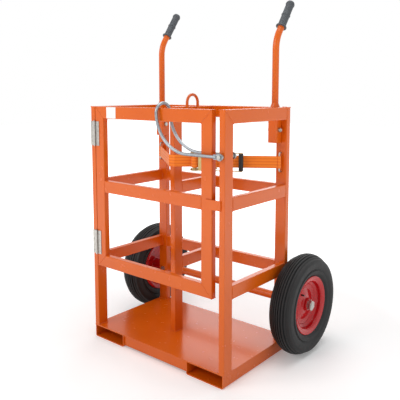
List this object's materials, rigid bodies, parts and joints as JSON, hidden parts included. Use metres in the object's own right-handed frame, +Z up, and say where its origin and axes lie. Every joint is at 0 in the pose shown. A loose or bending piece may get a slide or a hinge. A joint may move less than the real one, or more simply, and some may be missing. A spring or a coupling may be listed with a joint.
{
  "type": "gas cylinder cart",
  "caption": "Welded cage cart for standing gas cylinders, with hinged gate, swing-over latch bail, ratchet strap, push handles, forkable base and pneumatic wheels.",
  "frame": {"origin": "on the ground, at the centre of the whole cart's footprint", "axes": "+X to the right as seen from the gate, +Y from the gate back to the wheels, +Z up"},
  "size_m": [0.936, 0.6824, 1.4491],
  "materials": {
    "orange_paint": "gloss powder coat",
    "red_paint": "gloss paint",
    "tyre_rubber": "satin rubber",
    "grip_rubber": "matt rubber",
    "orange_webbing": "woven polyester",
    "galvanised_steel": "bright galvanised",
    "zinc_steel": "zinc plated",
    "yellow_zinc": "yellow zinc plated",
    "white_label": "matt film"
  },
  "bodies": {
    "cart": {"anchor_rings": "zinc_steel", "axle_bar": "zinc_steel", "axle_bolts": "zinc_steel", "axle_brackets": "orange_paint", "axle_tube": "orange_paint", "back_lower_rails": "orange_paint", "back_top_rail": "orange_paint", "bail_bolt": "zinc_steel", "bail_nut": "zinc_steel", "bail_spacers": "zinc_steel", "base_skirts": "orange_paint", "centre_post": "orange_paint", "deck_plate": "orange_paint", "divider_lower_rails": "orange_paint", "divider_top_rail": "orange_paint", "fork_pockets": "orange_paint", "front_post_left": "orange_paint", "front_post_right": "orange_paint", "handle_bolt_nuts": "zinc_steel", "handle_bolts": "zinc_steel", "handle_grips": "grip_rubber", "handle_sockets": "orange_paint", "handle_tubes": "orange_paint", "hinge_pins": "zinc_steel", "hinge_post_leaves": "zinc_steel", "hinge_post_screws": "zinc_steel", "lifting_lug": "orange_paint", "ratchet_frame": "yellow_zinc", "rear_post_left": "orange_paint", "rear_post_right": "orange_paint", "side_low_rails": "orange_paint", "side_mid_rails": "orange_paint", "side_top_rails": "orange_paint", "split_pins": "zinc_steel", "webbing_front": "orange_webbing", "webbing_rear": "orange_webbing", "wheel_nuts": "zinc_steel", "wheel_washers": "zinc_steel"},
    "gate": {"gate_bottom_rail": "orange_paint", "gate_hinge_stile": "orange_paint", "gate_label": "white_label", "gate_latch_stile": "orange_paint", "gate_mid_rail": "orange_paint", "gate_stop_tab": "orange_paint", "gate_top_rail": "orange_paint", "hinge_gate_leaves": "zinc_steel", "hinge_gate_screws": "zinc_steel"},
    "bail": {"latch_bail": "galvanised_steel"},
    "wheel_left": {"rim_left": "red_paint", "tyre_left": "tyre_rubber", "valve_left": "grip_rubber"},
    "wheel_right": {"rim_right": "red_paint", "tyre_right": "tyre_rubber", "valve_right": "grip_rubber"},
    "ratchet_lever": {"ratchet_grip": "grip_rubber", "ratchet_handle": "yellow_zinc"},
    "pawl": {"ratchet_pawl": "yellow_zinc"},
    "spool": {"ratchet_spool": "yellow_zinc", "ratchet_wheels": "yellow_zinc", "spool_winding": "orange_webbing"}
  },
  "joints": [
    {"name": "gate_swing", "type": "hinge", "parent": "cart", "child": "gate", "pos_m": [-0.33125, -0.3258, 0.7], "axis": [0, 0, -1], "range_deg": [0, 170]},
    {"name": "bail_lift", "type": "hinge", "parent": "cart", "child": "bail", "pos_m": [0.345, -0.2958, 0.851], "axis": [0, 1, 0], "range_deg": [0, 78]},
    {"name": "wheel_left_spin", "type": "hinge", "parent": "cart", "child": "wheel_left", "pos_m": [-0.42, 0.1352, 0.206], "axis": [1, 0, 0], "continuous": true},
    {"name": "wheel_right_spin", "type": "hinge", "parent": "cart", "child": "wheel_right", "pos_m": [0.42, 0.1352, 0.206], "axis": [1, 0, 0], "continuous": true},
    {"name": "ratchet_lever_swing", "type": "hinge", "parent": "cart", "child": "ratchet_lever", "pos_m": [0.04736, -0.1149, 0.793], "axis": [0, 0, -1], "range_deg": [0, 125]},
    {"name": "spool_turn", "type": "hinge", "parent": "cart", "child": "spool", "pos_m": [0.04736, -0.1149, 0.793], "axis": [0, 0, 1], "continuous": true},
    {"name": "pawl_slide", "type": "slide", "parent": "ratchet_lever", "child": "pawl", "axis": [0.8855, 0.4647, 0], "range_m": [0, 0.006], "stiffness_N_per_m": 300, "springref_m": -0.001}
  ]
}
